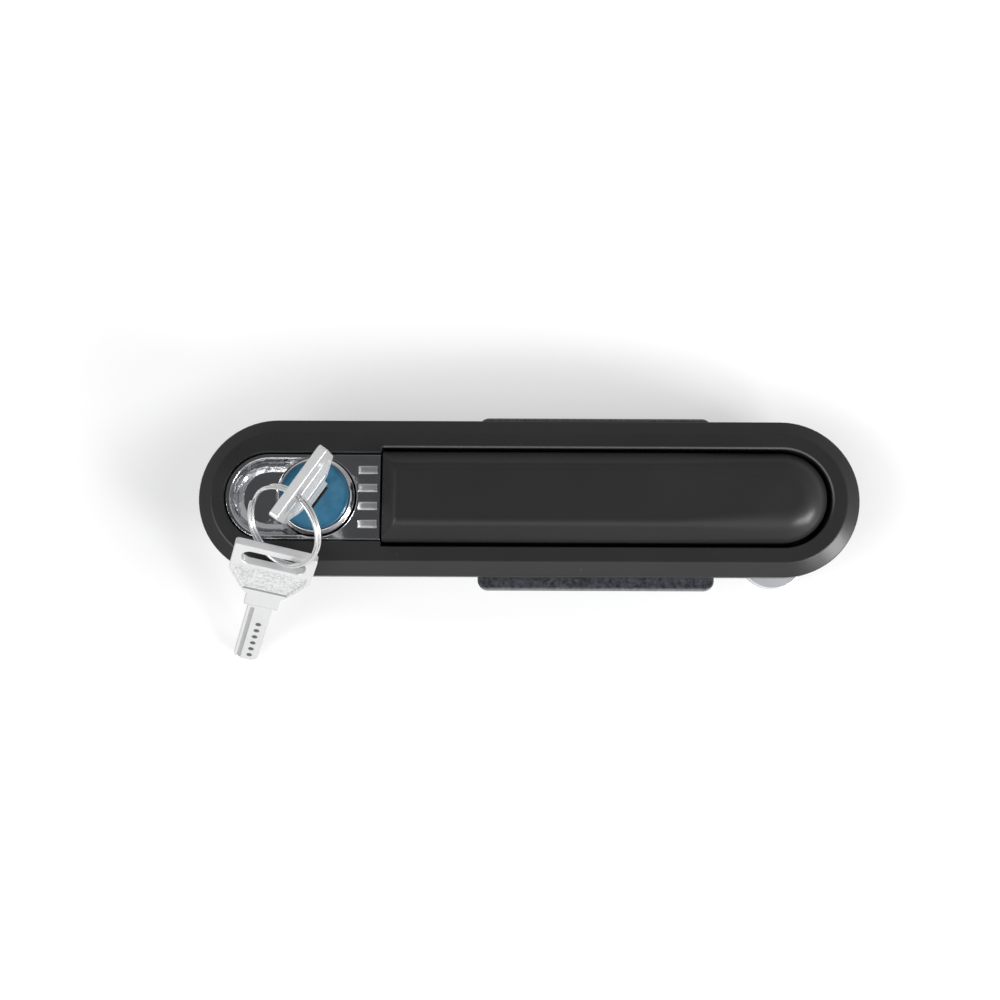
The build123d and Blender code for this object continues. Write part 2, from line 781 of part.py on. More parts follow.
def cylinder_cam():
    """Finger on the plug's end that stands behind the slider's tail when locked."""
    finger = Rectangle(cam_reach, cam_width, align=(Align.MIN, Align.CENTER)) + Circle(cam_hub_radius)
    finger &= Circle(cam_reach)
    finger = Rot(0, 0, locked_turn) * finger
    finger -= Rot(0, 0, key_turn_deg) * Rectangle(cam_square_length + 2 * running_gap,
                                                  cam_square_width + 2 * running_gap)
    return upright(Pos(cylinder_x, 0) * finger, cam_top_z - cam_thickness, cam_top_z)


def cam_screw():
    """Screw that holds the cam, its head just inside the back plate."""
    head_top = cam_top_z - cam_thickness
    bottom_z = head_top - cam_screw_height
    head = post(cylinder_x, 0, cam_screw_radius, bottom_z, head_top)
    return head - block((cylinder_x - cam_screw_radius, cylinder_x + cam_screw_radius),
                        (-driver_slot_width / 2, driver_slot_width / 2),
                        (bottom_z, bottom_z + driver_slot_depth))


# ---------------------------------------------------------------- clamp

def clamp_bracket():
    """Pressed top-hat bracket that pulls the housing against the door."""
    inner = body_radius + bracket_side_gap
    outer = inner + bracket_sheet
    section = make_face(Polyline(
        (-outer, bracket_web_z - bracket_sheet), (outer, bracket_web_z - bracket_sheet),
        (outer, bracket_front_z - bracket_sheet), (bracket_high_reach, bracket_front_z - bracket_sheet),
        (bracket_high_reach, bracket_front_z), (inner, bracket_front_z), (inner, bracket_web_z),
        (-inner, bracket_web_z), (-inner, bracket_front_z), (-bracket_low_reach, bracket_front_z),
        (-bracket_low_reach, bracket_front_z - bracket_sheet), (-outer, bracket_front_z - bracket_sheet),
        close=True,
    ))
    bracket = extrude(Plane.YZ.offset(bracket_left_x) * section, bracket_right_x - bracket_left_x)
    corners = [edge for edge in bracket.edges().filter_by(Axis.Z)
               if abs(edge.center().Y) > outer + bracket_corner]
    bracket = fillet(corners, bracket_corner)
    for x in clamp_screw_x:
        bracket -= post(x, 0, clamp_screw_radius + clamp_hole_gap,
                        bracket_web_z - bracket_sheet, bracket_web_z)
    return bracket


def clamp_washers():
    """Plain washers under the clamp screws' heads."""
    top_z = bracket_web_z - bracket_sheet
    return [post(x, 0, clamp_washer_radius, top_z - clamp_washer_height, top_z)
            - post(x, 0, clamp_screw_radius + washer_hole_gap, top_z - clamp_washer_height, top_z)
            for x in clamp_screw_x]


def clamp_screws():
    """Cross-headed screws into the housing's bosses."""
    head_top = bracket_web_z - bracket_sheet - clamp_washer_height
    screws = []
    for x in clamp_screw_x:
        head = post(x, 0, clamp_head_radius, head_top - clamp_head_height, head_top)
        head = chamfer(head.edges().group_by(Axis.Z)[0], screw_head_chamfer)
        screw = head + post(x, 0, clamp_screw_radius - running_gap, head_top, head_top + clamp_screw_length)
        for turn in (0, 90):
            screw -= Pos(x, 0, head_top - clamp_head_height) * Rot(0, 0, turn) \
                * Box(cross_slot_length, cross_slot_width, 2 * cross_slot_depth)
        screws.append(screw)
    return screws


# ---------------------------------------------------------------- keys and ring

def flat_key():
    """Reversible key in its own frame: shoulder at z = 0, tip below, head above, faces along Y."""
    head_low = neck_height
    tip = blade_tip_chamfer
    side_low = key_rise - head_side_height
    outline = Polyline(
        (-blade_width / 2, -blade_length + tip), (-blade_width / 2 + tip, -blade_length),
        (blade_width / 2 - tip, -blade_length), (blade_width / 2, -blade_length + tip),
        (blade_width / 2, 0), (neck_width / 2, shoulder_drop), (neck_width / 2, head_low - neck_shoulder),
        (head_foot_width / 2, head_low), (head_width / 2, side_low), (head_width / 2, key_rise),
        (-head_width / 2, key_rise), (-head_width / 2, side_low), (-head_foot_width / 2, head_low),
        (-neck_width / 2, head_low - neck_shoulder), (-neck_width / 2, shoulder_drop),
        (-blade_width / 2, 0), close=True,
    )
    thick = extrude(Plane.XZ * make_face(outline), head_thickness / 2, both=True)
    top_corners = thick.edges().filter_by(Axis.Y).group_by(Axis.Z)[-1]
    key = fillet(top_corners, head_corner_radius)
    for side in (-1, 1):
        y_range = sorted((side * blade_thickness / 2, side * head_thickness))
        key -= block((-head_width, head_width), y_range, (-blade_length, shoulder_drop))
        key -= key_face_cuts(side)
    return key - key_window()


def key_window():
    """Long rounded window near the top of the head, for the ring."""
    z = key_rise - window_drop - window_height / 2
    slot = SlotOverall(window_length, window_height)
    return extrude(Plane.XZ.offset(0) * Pos(0, z) * slot, head_thickness, both=True)


def key_face_cuts(side):
    """Sunk panel of the head and long groove of the blade on one face of the key."""
    panel_top = key_rise - window_drop - window_height - head_border
    side_low = key_rise - head_side_height
    foot_z = neck_height + panel_foot_rise
    foot_x = head_foot_width / 2 - panel_side_drop
    side_x = head_width / 2 - head_border
    side_z = side_low + panel_side_rise
    panel = Polyline(
        (-foot_x, foot_z), (foot_x, foot_z), (side_x, side_z), (side_x, panel_top),
        (-side_x, panel_top), (-side_x, side_z), close=True,
    )
    face_y = side * head_thickness / 2
    cuts = extrude(Plane.XZ.offset(-face_y) * make_face(panel), head_recess, both=True)
    blade_y = side * blade_thickness / 2
    groove_x = -blade_width / 2 + groove_inset
    cuts += block((groove_x - blade_groove_width / 2, groove_x + blade_groove_width / 2),
                  sorted((blade_y - side * blade_groove_depth, blade_y)), (-blade_length, -groove_inset))
    return cuts


def hang_point():
    """Middle of the ring's wire in the inserted key's window."""
    turn = math.radians(key_turn_deg)
    z = face_z + key_rise - window_drop - hang_drop
    return Vector(cylinder_x + hang_side * math.cos(turn), hang_side * math.sin(turn), z)


def ring_axes():
    """Unit directions of the ring: level, up its slope, and its axis."""
    heading = math.radians(ring_heading_deg)
    slope = math.radians(ring_slope_deg)
    level = Vector(math.cos(heading), math.sin(heading), 0)
    across = Vector(-level.Y, level.X, 0)
    up_slope = across * math.cos(slope) + Vector(0, 0, 1) * math.sin(slope)
    return level, up_slope, level.cross(up_slope)


def ring_plane():
    """Plane of the ring, its X along the level direction."""
    level, up_slope, axis = ring_axes()
    centre = hang_point() - on_circle(level, up_slope, hang_place_deg)
    return Plane(origin=centre, x_dir=level, z_dir=axis)


def on_circle(level, up_slope, degrees):
    """Point of the ring's mean circle, from its centre."""
    turn = math.radians(degrees)
    return (level * math.cos(turn) + up_slope * math.sin(turn)) * ring_radius


def key_ring():
    """Split ring of two turns side by side, each cut once where the turns pass over."""
    half = ring_turn_pitch / 2
    wire = Rot(0, 0, 180 / ring_sides) * RegularPolygon(ring_wire / 2, ring_sides)
    section = Pos(ring_radius, half) * wire + Pos(ring_radius, -half) * wire
    ring = revolve(Plane.XZ * section, Axis.Z)
    for side, place in ((1, 150), (-1, 190)):
        cut = Box(2 * ring_wire, ring_break, ring_wire / 2 + half)
        ring -= Rot(0, 0, place) * Pos(ring_radius, 0, side * (half + ring_wire / 4)) * cut
    return ring_plane().location * ring


def spare_key_plane():
    """Frame of the second key, which hangs from the ring's lower side and leans outwards."""
    level, up_slope, axis = ring_axes()
    on_ring = ring_plane().origin + on_circle(level, up_slope, spare_place_deg)
    down = Vector(*spare_down).normalized()
    across = Vector(*spare_across)
    across = (across - down * across.dot(down)).normalized()
    window_z = key_rise - window_drop - window_height / 2
    origin = on_ring + down * window_z - across * spare_side
    return Plane(origin=origin, x_dir=across, z_dir=down * -1)


def inserted_key():
    """Key in the cylinder, pushed in to its shoulder."""
    return Pos(cylinder_x, 0, face_z + running_gap) * Rot(0, 0, key_turn_deg) * flat_key()


def spare_key():
    """The same key on the ring, beside the lock."""
    return spare_key_plane().location * flat_key()


# ---------------------------------------------------------------- files

subparts = {
    "housing": housing,
    "case_back_plate": case_back_plate,
    "cover_screws": cover_screws,
    "clamp_bracket": clamp_bracket,
    "clamp_washers": clamp_washers,
    "clamp_screws": clamp_screws,
    "spindle": spindle,
    "handle": handle,
    "pivot_pin": pivot_pin,
    "lift_spring": lift_spring,
    "crank_plate": crank_plate,
    "rod_pins": rod_pins,
    "spring_washer": spring_washer,
    "crank_nut": crank_nut,
    "push_button": push_button,
    "button_springs": button_springs,
    "latch_slider": latch_slider,
    "slider_springs": slider_springs,
    "cylinder_barrel": cylinder_barrel,
    "ring_nut": ring_nut,
    "cylinder_plug": cylinder_plug,
    "plug_face_cap": plug_face_cap,
    "cylinder_cam": cylinder_cam,
    "cam_screw": cam_screw,
    "key": inserted_key,
    "key_ring": key_ring,
    "spare_key": spare_key,
}

for name, make in subparts.items():
    shape = make()
    if isinstance(shape, list):
        shape = Compound(children=shape)
    export_step(shape, f"parts/{name}.step")
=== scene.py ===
import math

import bmesh
import bpy
import numpy as np
from mathutils import Matrix, Vector


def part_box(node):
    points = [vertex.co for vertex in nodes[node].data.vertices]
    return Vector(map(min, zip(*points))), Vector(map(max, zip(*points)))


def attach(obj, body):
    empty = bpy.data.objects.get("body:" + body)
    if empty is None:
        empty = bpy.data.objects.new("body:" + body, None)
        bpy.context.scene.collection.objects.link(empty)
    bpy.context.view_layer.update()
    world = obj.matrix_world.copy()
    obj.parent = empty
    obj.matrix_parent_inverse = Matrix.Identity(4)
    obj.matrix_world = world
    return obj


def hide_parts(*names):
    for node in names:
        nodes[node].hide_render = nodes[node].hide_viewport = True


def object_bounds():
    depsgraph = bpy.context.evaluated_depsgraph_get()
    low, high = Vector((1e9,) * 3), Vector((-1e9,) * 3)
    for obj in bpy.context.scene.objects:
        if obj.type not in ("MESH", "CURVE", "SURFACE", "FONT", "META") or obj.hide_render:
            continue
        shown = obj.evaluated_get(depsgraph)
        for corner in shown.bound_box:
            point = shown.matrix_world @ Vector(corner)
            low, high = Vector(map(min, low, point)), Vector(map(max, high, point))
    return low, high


# Swing handle lock: black satin housing and lever, chromed push button with a key cylinder,
# zinc plated clamp and crank, nickel plated keys on a split ring. Metres, +Z out of the door.

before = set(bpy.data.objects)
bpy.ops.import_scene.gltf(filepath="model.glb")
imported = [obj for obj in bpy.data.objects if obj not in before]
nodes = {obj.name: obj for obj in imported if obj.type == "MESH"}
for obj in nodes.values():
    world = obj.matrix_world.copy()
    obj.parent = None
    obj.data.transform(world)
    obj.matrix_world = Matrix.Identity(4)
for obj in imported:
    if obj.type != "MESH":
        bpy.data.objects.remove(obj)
cad_box = [list(corner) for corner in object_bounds()]
scene = bpy.context.scene
scene.view_settings.view_transform = "Standard"

MM = 0.001


def middle(name):
    """Centre of a node's box."""
    low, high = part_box(name)
    return (Vector(low) + Vector(high)) / 2


# ---------------------------------------------------------------- sizes and places

# Lever: straight sides with a chamfer up to the spindle's axis, then a round end with a dome.
LEVER_LEFT, LEVER_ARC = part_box("handle")[0][0], middle("pivot_pin").x
LEVER_HALF, LEVER_TOP, LEVER_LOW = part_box("handle")[1][1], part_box("handle")[1][2], -2.0 * MM
CHAMFER_WIDE, CHAMFER_HIGH = 4.8 * MM, 5.0 * MM
DOME_ROUND, DOME_SHARE = 9.6 * MM, 0.35
BLEND_LONG, LEVER_LEAN, PIN_LEVEL = 36.0 * MM, 0.3 * MM, 1.0 * MM
FOOT_CUT, SIDE_CREST_CUT, END_CREST_CUT = 1.2 * MM, 1.5 * MM, 4.0 * MM
# The free end's chamfer: how far it drops, over what length, and how soft its edge is.
END_DROP, END_LONG, END_SOFT, END_REACH = 3.7 * MM, 3.75 * MM, 0.22 * MM, 8 * MM
# Rows of the lever's grid on each side's free end, middle and blend, rows of the arc, columns.
END_ROWS, MIDDLE_ROWS, BLEND_ROWS, ARC_ROWS, COLUMNS = 20, 30, 46, 48, 56
SKIN_NEAR = 0.12 * MM

# Push button: plate with a round left end and a finger dish, and the four grip bars on it.
BUTTON_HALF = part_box("push_button")[1][1]
BUTTON_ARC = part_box("push_button")[0][0] + BUTTON_HALF
BAR_MIDDLE, BAR_LONG, BAR_WIDE = -46.2 * MM, 5.8 * MM, 2.4 * MM
BAR_PITCH, BAR_HIGH, BAR_SUNK = 5.2 * MM, 0.45 * MM, 0.05 * MM

# Split ring: wire of two turns, its place, its tilt, and where it crosses between the turns.
RING_CENTRE = (-0.066820, -0.010414, 0.022703)
RING_RADIUS, RING_WIRE, RING_PITCH = 11.6 * MM, 1.25 * MM, 1.15 * MM
RING_HEADING, RING_SLOPE = math.radians(-47.0), math.radians(42.0)
RING_START, RING_STOP, RING_CROSS, RING_CROSS_LONG = 192.0, 868.0, 508.0, 44.0

# Keys, in their own frame: across, through and along, with the shoulder at 0.
CAP = middle("plug_face_cap")
KEY_TURN = math.radians(55.0)
KEY_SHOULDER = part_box("plug_face_cap")[1][2] + 0.05 * MM
KEY_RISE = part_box("key")[1][2] - KEY_SHOULDER
PANEL_LOW, PANEL_HIGH, PANEL_HALF = 7.9 * MM, KEY_RISE - 9.1 * MM, 10.1 * MM
DIMPLE_PITCH, DIMPLE_ASIDE = 3.2 * MM, 0.9 * MM
DIMPLE_LOW, DIMPLE_HIGH, DIMPLE_WALL = -26.4 * MM, -7.2 * MM, (0.62 * MM, 1.02 * MM)
GROOVE_ASIDE, GROOVE_HALF, GROOVE_TOP = 2.1 * MM, 0.6 * MM, -1.0 * MM
FOOT_LOW, FOOT_HIGH, FOOT_HALF = PANEL_LOW - 0.7 * MM, PANEL_LOW - 0.1 * MM, 6.4 * MM

# Edges that the finishes draw: painted highlight line round the well, painted highlight on the
# button's edge, painted shade in the cap's slot.
WELL_HIGHLIGHT_OFF, WELL_HIGHLIGHT_LOW, WELL_HIGHLIGHT_WIDTH = LEVER_HALF + 1.35 * MM, 6.4 * MM, (0.12 * MM, 0.42 * MM)
EDGE_HIGHLIGHT_START, EDGE_HIGHLIGHT_FULL, EDGE_HIGHLIGHT_LOW = BUTTON_HALF - 0.55 * MM, BUTTON_HALF - 0.2 * MM, 4 * MM
DISH_FADE = 3 * MM
SLOT_THROUGH, SLOT_ACROSS = (2.0 * MM, 2.3 * MM), (3.8 * MM, 4.2 * MM)
KEYWAY_THROUGH, KEYWAY_ACROSS, CAP_RIM = 2.6 * MM, 6.5 * MM, (8.3 * MM, 9.6 * MM)
# Turned faces: angle of the ring pattern for each metre, out on the cap and brass, up on the brass.
CAP_RINGS, BRASS_RINGS, BRASS_RISE = 26000.0, 30000.0, 22000.0

# Meshes: points closer than this are one, faces flatter than this are joined.
WELD, FLAT = 2e-6, math.radians(0.6)


# ---------------------------------------------------------------- shader maths

class Val:
    """A shader value: one output socket, with operators that add Math nodes."""

    def __init__(self, tree, socket):
        self.tree, self.socket = tree, socket

    def math(self, operation, first, second):
        """One Math node; a second value of None leaves its socket alone."""
        return node(self.tree, "ShaderNodeMath", {"operation": operation}, {0: first, 1: second})

    def __add__(self, other):
        return self.math("ADD", self, other)

    def __radd__(self, other):
        return self.math("ADD", other, self)

    def __sub__(self, other):
        return self.math("SUBTRACT", self, other)

    def __rsub__(self, other):
        return self.math("SUBTRACT", other, self)

    def __mul__(self, other):
        return self.math("MULTIPLY", self, other)

    def __rmul__(self, other):
        return self.math("MULTIPLY", other, self)

    def __truediv__(self, other):
        return self.math("DIVIDE", self, other)

    def __pow__(self, other):
        return self.math("POWER", self, other)

    def __gt__(self, other):
        return self.math("GREATER_THAN", self, other)

    def __lt__(self, other):
        return self.math("LESS_THAN", self, other)

    def __abs__(self):
        return self.math("ABSOLUTE", self, 0.0)

    def least(self, other):
        return self.math("MINIMUM", self, other)

    def most(self, other):
        return self.math("MAXIMUM", self, other)

    def sine(self):
        return self.math("SINE", self, None)

    def fraction(self):
        return self.math("FRACT", self, None)

    def ramp(self, low, high):
        """0 at low, 1 at high, smooth between them."""
        return node(self.tree, "ShaderNodeMapRange", {"interpolation_type": "SMOOTHSTEP"},
                    {"Value": self, "From Min": low, "From Max": high}, "Result")


def node(tree, kind, settings=None, inputs=None, output=0):
    """Adds a node of that type: settings first, then the values or links of its sockets."""
    made = tree.nodes.new(kind)
    for key, value in (settings or {}).items():
        setattr(made, key, value)
    for key, value in (inputs or {}).items():
        if isinstance(value, Val):
            tree.links.new(value.socket, made.inputs[key])
        elif value is not None:
            made.inputs[key].default_value = value
    return Val(tree, made.outputs[output]) if made.outputs else None


def distance(first, second):
    """Length of the vector of two shader values."""
    return (first * first + second * second) ** 0.5


def mix(tree, factor, first, second):
    """Colour between first and second."""
    return node(tree, "ShaderNodeMix", {"data_type": "RGBA"},
                {0: factor, 6: colour(first), 7: colour(second)}, 2)


def colour(value):
    """Three numbers as a colour; links and values pass."""
    return (*value, 1.0) if isinstance(value, tuple) and len(value) == 3 else value


def shaded(tone, share):
    """The colour with each number times the share."""
    return tuple(c * share for c in tone)


def noise(tree, place, scale, detail=2.0, rough=0.5):
    """Cloudy noise, about 0.2 to 0.8; its first output is the plain value."""
    return node(tree, "ShaderNodeTexNoise", None,
                {"Vector": place, "Scale": scale, "Detail": detail, "Roughness": rough})


def cells(tree, place, scale, output="Distance"):
    """Cell noise: distance to the cell's point, or a random colour for each cell."""
    return node(tree, "ShaderNodeTexVoronoi", None, {"Vector": place, "Scale": scale}, output)


def stretched(tree, place, scale=(1.0, 1.0, 1.0), turn=(0.0, 0.0, 0.0), shift=(0.0, 0.0, 0.0)):
    """Coordinates scaled, turned and then moved."""
    return node(tree, "ShaderNodeMapping", None,
                {"Vector": place, "Scale": scale, "Rotation": turn, "Location": shift})


def parts_of(tree, place):
    """The three numbers of a vector."""
    split = tree.nodes.new("ShaderNodeSeparateXYZ")
    tree.links.new(place.socket, split.inputs[0])
    return [Val(tree, split.outputs[i]) for i in range(3)]


def bump(tree, height, depth, strength):
    """Normal of a surface that rises by depth where the height is 1."""
    return node(tree, "ShaderNodeBump", None,
                {"Height": height, "Distance": depth, "Strength": strength})


def new_material(name):
    """Empty material, its tree and its object coordinates."""
    material = bpy.data.materials.new(name)
    material.use_nodes = True
    tree = material.node_tree
    tree.nodes.clear()
    return material, tree, node(tree, "ShaderNodeTexCoord", None, None, "Object")


def principled(material, tree, **sockets):
    """Closes the material with a Principled shader; socket names have _ for a space."""
    shader = node(tree, "ShaderNodeBsdfPrincipled", None,
                  {key.replace("_", " "): colour(value) for key, value in sockets.items()})
    node(tree, "ShaderNodeOutputMaterial", None, {"Surface": shader})
    return material


# ---------------------------------------------------------------- finishes

def satin_black(name, tone=0.0225, gloss=0.33, shine=0.35, well_highlight=0.0):
    """Powder coat: orange peel, slow change of gloss, dust, and a painted highlight line round the
    well's upper edge.
    """
    material, tree, place = new_material(name)
    cloud = noise(tree, place, 45.0, 3.0)
    grain = noise(tree, place, 2600.0, 2.0)
    specks = noise(tree, place, 700.0, 1.0).ramp(0.80, 0.84)
    shade = mix(tree, cloud, (tone * 0.86, tone * 0.84, tone * 0.86),
                (tone * 1.14, tone * 1.10, tone * 1.12))
    shade = mix(tree, specks * 0.5, shade, (0.16, 0.16, 0.16))
    x, y, z = parts_of(tree, place)
    # Painted highlight: a lighter line just outside the well's edge, on its upper side only, where
    # the edge catches the light.
    off = abs(distance((x - LEVER_ARC).most(0.0), y) - WELL_HIGHLIGHT_OFF)
    upper_side = y.ramp(-7 * MM, 2 * MM)
    line = (1.0 - off.ramp(*WELL_HIGHLIGHT_WIDTH)) * (z > WELL_HIGHLIGHT_LOW) * (x > LEVER_LEFT) * upper_side
    shade = mix(tree, line * well_highlight, shade, (0.13, 0.13, 0.13))
    peel = noise(tree, place, 900.0, 2.0) * 0.7 + grain * 0.3
    return principled(material, tree, Base_Color=shade,
                      Roughness=gloss - 0.05 + cloud * 0.08 + grain * 0.03,
                      Specular_IOR_Level=shine, Normal=bump(tree, peel, 0.03 * MM, 0.6))


def chrome_plate(name, tone, rough, ripple, dish_ripple=0.0, edge_highlight=0.0):
    """Chrome over a cast surface: haze, ripples under the polish that are deeper in the finger
    dish, and a painted highlight along the edge.
    """
    material, tree, place = new_material(name)
    wave = noise(tree, place, 300.0, 2.0, 0.6) * 0.65 + noise(tree, place, 850.0, 2.0) * 0.35
    haze = noise(tree, place, 90.0, 3.0).ramp(0.35, 0.75)
    shade = mix(tree, haze, tone, shaded(tone, 0.84))
    x, y, z = parts_of(tree, place)
    dish = (1.0 - x.ramp(CAP.x - DISH_FADE, CAP.x)) * dish_ripple
    # Painted highlight: a near white, less metallic band along the button's edge, standing in for
    # the glint on it.
    rim = distance((x - BUTTON_ARC).least(0.0), y).ramp(EDGE_HIGHLIGHT_START, EDGE_HIGHLIGHT_FULL)
    edge = rim * (z > EDGE_HIGHLIGHT_LOW) * edge_highlight
    shade = mix(tree, edge, shade, (0.95, 0.95, 0.95))
    return principled(material, tree, Base_Color=shade, Metallic=1.0 - edge * 0.6,
                      Roughness=rough + haze * 0.07,
                      Normal=bump(tree, wave * (ripple + dish), MM, 0.8))


def blue_enamel(name):
    """Tinted lacquer on a spun disc: brighter middle tones, darker rim, fine rings."""
    material, tree, place = new_material(name)
    x, y, _ = parts_of(tree, stretched(tree, place, shift=(-CAP.x, -CAP.y, -CAP.z)))
    radius = distance(x, y)
    cloud = noise(tree, place, 160.0, 4.0, 0.6)
    rings = (radius * CAP_RINGS).sine()
    shade = mix(tree, cloud.ramp(0.35, 0.7), (0.021, 0.128, 0.232), (0.040, 0.188, 0.315))
    shade = mix(tree, radius.ramp(*CAP_RIM) * 0.55, shade, (0.010, 0.060, 0.115))
    # Painted shade: near black on the cap where the keyway's slot beside the key lies in shade.
    across, through, _ = parts_of(tree, in_key(tree, place, inserted_frame))
    slot = (1.0 - abs(through).ramp(*SLOT_THROUGH)) * (1.0 - abs(across).ramp(*SLOT_ACROSS))
    shade = mix(tree, slot, shade, (0.004, 0.004, 0.005))
    return principled(material, tree, Base_Color=shade, Roughness=0.26 + cloud * 0.10,
                      Metallic=0.15, Coat_Weight=0.32, Coat_Roughness=0.08,
                      Normal=bump(tree, rings * 0.5 + cloud, 0.02 * MM, 0.5))


def galvanised(name):
    """Dark chromated zinc: fine grey-blue mottle, lighter along the long edges."""
    material, tree, place = new_material(name)
    tone = (0.040, 0.042, 0.049)
    _, y, _ = parts_of(tree, place)
    level = node(tree, "ShaderNodeSeparateColor", None, {0: cells(tree, place, 1500.0, "Color")})
    streak = noise(tree, stretched(tree, place, (60.0, 700.0, 700.0)), 1.0, 4.0)
    blot = noise(tree, place, 900.0, 4.0, 0.7)
    low, high = (corner[1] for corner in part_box("clamp_bracket"))
    edge_band = 1.0 - (y - low).least(high - y).ramp(0.35 * MM, 1.1 * MM)
    shade = mix(tree, blot.ramp(0.36, 0.66), shaded(tone, 0.35), shaded(tone, 2.1))
    shade = mix(tree, level * 0.25 + streak * 0.2, shade, shaded(tone, 2.6))
    shade = mix(tree, edge_band * (0.20 + blot * 0.55), shade, (0.42, 0.42, 0.43))
    return principled(material, tree, Base_Color=shade, Metallic=0.55,
                      Roughness=0.38 + level * 0.12 + blot * 0.12,
                      Normal=bump(tree, blot + level * 0.3, 0.04 * MM, 0.7))


def bright_zinc(name):
    """Clear passivated zinc with a faint tint and fine drawing marks."""
    material, tree, place = new_material(name)
    tone = (0.80, 0.81, 0.82)
    cloud = noise(tree, place, 140.0, 3.0)
    marks = noise(tree, stretched(tree, place, (90.0, 2400.0, 900.0)), 1.0, 3.0)
    shade = mix(tree, cloud, (tone[0] * 0.88, tone[1] * 0.90, tone[2] * 0.96), tone)
    shade = mix(tree, cells(tree, place, 240.0).ramp(0.5, 0.9) * 0.25, shade, (0.62, 0.58, 0.46))
    return principled(material, tree, Base_Color=shade, Metallic=0.5,
                      Roughness=0.26 + cloud * 0.12 + marks * 0.06,
                      Normal=bump(tree, marks, 0.012 * MM, 0.6))


def spring_steel(name):
    """Drawn wire or strip, slightly oiled."""
    material, tree, place = new_material(name)
    cloud = noise(tree, place, 300.0, 3.0)
    shade = mix(tree, cloud, (0.36, 0.35, 0.34), (0.52, 0.51, 0.50))
    return principled(material, tree, Base_Color=shade, Metallic=1.0, Roughness=0.22 + cloud * 0.14,
                      Normal=bump(tree, noise(tree, place, 3000.0), 0.008 * MM, 0.5))


def machined_brass(name):
    """Turned brass: fine lathe rings about the cylinder and a dull bloom."""
    material, tree, place = new_material(name)
    x, y, z = parts_of(tree, stretched(tree, place, shift=(-CAP.x, -CAP.y, 0.0)))
    lathe = (distance(x, y) * BRASS_RINGS + z * BRASS_RISE).sine()
    bloom = noise(tree, place, 210.0, 4.0)
    shade = mix(tree, bloom, (0.50, 0.34, 0.12), (0.74, 0.55, 0.24))
    # Painted shade: near black and not metallic in the keyway.
    across, through, _ = parts_of(tree, in_key(tree, place, inserted_frame))
    keyway_shade = (abs(through) < KEYWAY_THROUGH) * (abs(across) < KEYWAY_ACROSS)
    shade = mix(tree, keyway_shade, shade, (0.004, 0.004, 0.004))
    return principled(material, tree, Base_Color=shade, Metallic=1.0 - keyway_shade,
                      Roughness=0.24 + bloom * 0.16,
                      Normal=bump(tree, lathe * 0.5 + bloom * 0.4, 0.01 * MM, 0.6))


def in_key(tree, place, own_frame):
    """Object coordinates turned into a key's own frame: across, through, along, in metres."""
    inverse = own_frame.inverted()
    return stretched(tree, place, turn=tuple(inverse.to_euler("XYZ")),
                     shift=tuple(inverse.to_translation()))


def nickel_key(name, own_frame):
    """Tumbled nickel plate: soft scratches, stippled panel, the blade's groove and dimples, with
    painted shade in the groove, the dimples and the crease at the panel's foot.
    """
    material, tree, place = new_material(name)
    local = in_key(tree, place, own_frame)
    x, _, z = parts_of(tree, local)
    cloud = noise(tree, local, 150.0, 3.0)
    along = noise(tree, stretched(tree, local, (2600.0, 900.0, 110.0)), 1.0, 3.0)
    cross = noise(tree, stretched(tree, local, (300.0, 900.0, 2600.0), (0.0, 0.6, 0.0)), 1.0, 3.0)
    scratch = along * 0.6 + cross * 0.4
    stipple = noise(tree, local, 1500.0, 3.0, 0.65)
    panel = (z > PANEL_LOW) * (z < PANEL_HIGH) * (abs(x) < PANEL_HALF)
    step = ((z - DIMPLE_LOW) / DIMPLE_PITCH).fraction() - 0.5
    off = distance(x - DIMPLE_ASIDE, step * DIMPLE_PITCH)
    dimple = (1.0 - off.ramp(*DIMPLE_WALL)) * (z > DIMPLE_LOW) * (z < DIMPLE_HIGH)
    groove = (abs(x + GROOVE_ASIDE) < GROOVE_HALF) * (z < GROOVE_TOP)
    edge = dimple * off.ramp(0.2 * MM, 0.8 * MM)
    shade = mix(tree, scratch * 0.5 + cloud * 0.5, (0.66, 0.66, 0.66), (0.84, 0.84, 0.84))
    shade = mix(tree, panel * stipple.ramp(0.44, 0.58) * 0.55, shade, (0.40, 0.40, 0.41))
    # Painted shade: darker in the crease at the panel's foot, in the blade's groove and in its
    # dimples.
    foot = (z > FOOT_LOW) * (z < FOOT_HIGH) * (abs(x) < FOOT_HALF)
    shade = mix(tree, foot * 0.7, shade, (0.12, 0.12, 0.12))
    shade = mix(tree, groove * 0.45, shade, (0.22, 0.22, 0.23))
    shade = mix(tree, dimple * 0.92, shade, (0.06, 0.06, 0.065))
    height = scratch * 0.25 + panel * stipple - edge * 3.0
    return principled(material, tree, Base_Color=shade, Metallic=0.35 - panel * 0.1,
                      Roughness=0.26 + scratch * 0.12 + panel * 0.16,
                      Normal=bump(tree, height, 0.05 * MM, 0.8))


def nickel_wire(name):
    """Polished ring wire with scuffs."""
    material, tree, place = new_material(name)
    scuff = noise(tree, stretched(tree, place, (500.0, 500.0, 1600.0)), 1.0, 4.0).ramp(0.45, 0.75)
    shade = mix(tree, scuff, (0.84, 0.84, 0.84), (0.66, 0.66, 0.67))
    return principled(material, tree, Base_Color=shade, Metallic=0.85,
                      Roughness=0.14 + scuff * 0.18,
                      Normal=bump(tree, scuff, 0.01 * MM, 0.5))


# ---------------------------------------------------------------- mesh helpers

def grid_faces(rows, columns, wrapped=False):
    """Quads of a grid of points, counted row by row; wrapped columns close on themselves."""
    steps = columns if wrapped else columns - 1
    r, c = np.meshgrid(np.arange(rows - 1), np.arange(steps), indexing="ij")
    here, beside = r * columns + c, r * columns + (c + 1) % columns
    return np.stack([here, beside, beside + columns, here + columns], axis=-1).reshape(-1, 4)


